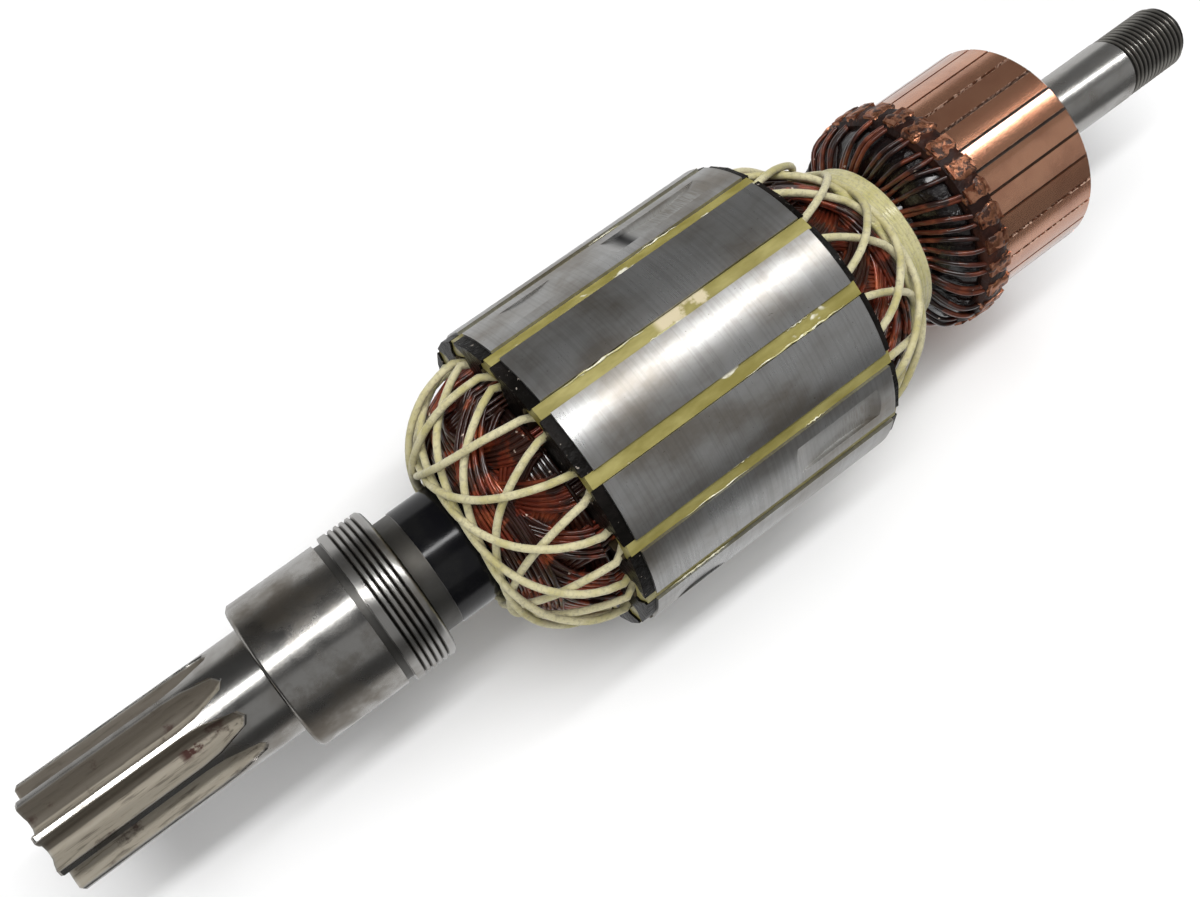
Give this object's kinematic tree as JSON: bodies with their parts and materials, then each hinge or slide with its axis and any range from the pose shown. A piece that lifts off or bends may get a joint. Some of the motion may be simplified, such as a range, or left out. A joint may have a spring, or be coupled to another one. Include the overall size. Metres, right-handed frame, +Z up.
{
  "type": "motor armature",
  "caption": "Wound motor armature: slotted core with laced coils on an insulated shaft, copper commutator, cut pinion with a labyrinth shoulder at one end, threaded tail at the other.",
  "frame": {"origin": "on the spin axis at half the overall length", "axes": "+X along the spin axis from the pinion to the threaded tail, +Z up as the armature lies on its core with one slot straight down"},
  "size_m": [0.238, 0.0566, 0.0566],
  "materials": {
    "shaft_steel": "turned and ground steel, dull in the pinion's grooves",
    "sleeve_black": "gloss black insulating sleeve",
    "core_steel": "satin laminated steel with fine rings and brown stain",
    "plate_black": "varnished black fibre, chipped at the edges",
    "liner_paper": "insulating paper",
    "wedge_olive": "olive yellow slot wedge",
    "coil_enamel": "red-brown enamelled copper wire under varnish",
    "cord_cream": "cream lacing cord, varnished",
    "lead_varnish": "copper leads under dark varnish",
    "hub_moulding": "dark phenolic moulding",
    "bar_copper": "turned copper with fine rings"
  },
  "bodies": {
    "root": {"shaft": "shaft_steel", "shaft_sleeve": "sleeve_black", "core": "core_steel", "end_plate_drive": "plate_black", "end_plate_commutator": "plate_black", "slot_liners": "liner_paper", "slot_wedges": "wedge_olive", "lacing_drive_end": "cord_cream", "lacing_commutator_end": "cord_cream", "binding_band": "cord_cream", "commutator_leads": "lead_varnish", "commutator_hub": "hub_moulding", "coil_01": "coil_enamel", "coil_02": "coil_enamel", "coil_03": "coil_enamel", "coil_04": "coil_enamel", "coil_05": "coil_enamel", "coil_06": "coil_enamel", "coil_07": "coil_enamel", "coil_08": "coil_enamel", "coil_09": "coil_enamel", "coil_10": "coil_enamel", "coil_11": "coil_enamel", "coil_12": "coil_enamel", "coil_13": "coil_enamel", "coil_14": "coil_enamel", "commutator_bar_01": "bar_copper", "commutator_bar_02": "bar_copper", "commutator_bar_03": "bar_copper", "commutator_bar_04": "bar_copper", "commutator_bar_05": "bar_copper", "commutator_bar_06": "bar_copper", "commutator_bar_07": "bar_copper", "commutator_bar_08": "bar_copper", "commutator_bar_09": "bar_copper", "commutator_bar_10": "bar_copper", "commutator_bar_11": "bar_copper", "commutator_bar_12": "bar_copper", "commutator_bar_13": "bar_copper", "commutator_bar_14": "bar_copper", "commutator_bar_15": "bar_copper", "commutator_bar_16": "bar_copper", "commutator_bar_17": "bar_copper", "commutator_bar_18": "bar_copper", "commutator_bar_19": "bar_copper", "commutator_bar_20": "bar_copper", "commutator_bar_21": "bar_copper", "commutator_bar_22": "bar_copper", "commutator_bar_23": "bar_copper", "commutator_bar_24": "bar_copper", "commutator_bar_25": "bar_copper", "commutator_bar_26": "bar_copper", "commutator_bar_27": "bar_copper", "commutator_bar_28": "bar_copper"}
  },
  "joints": []
}
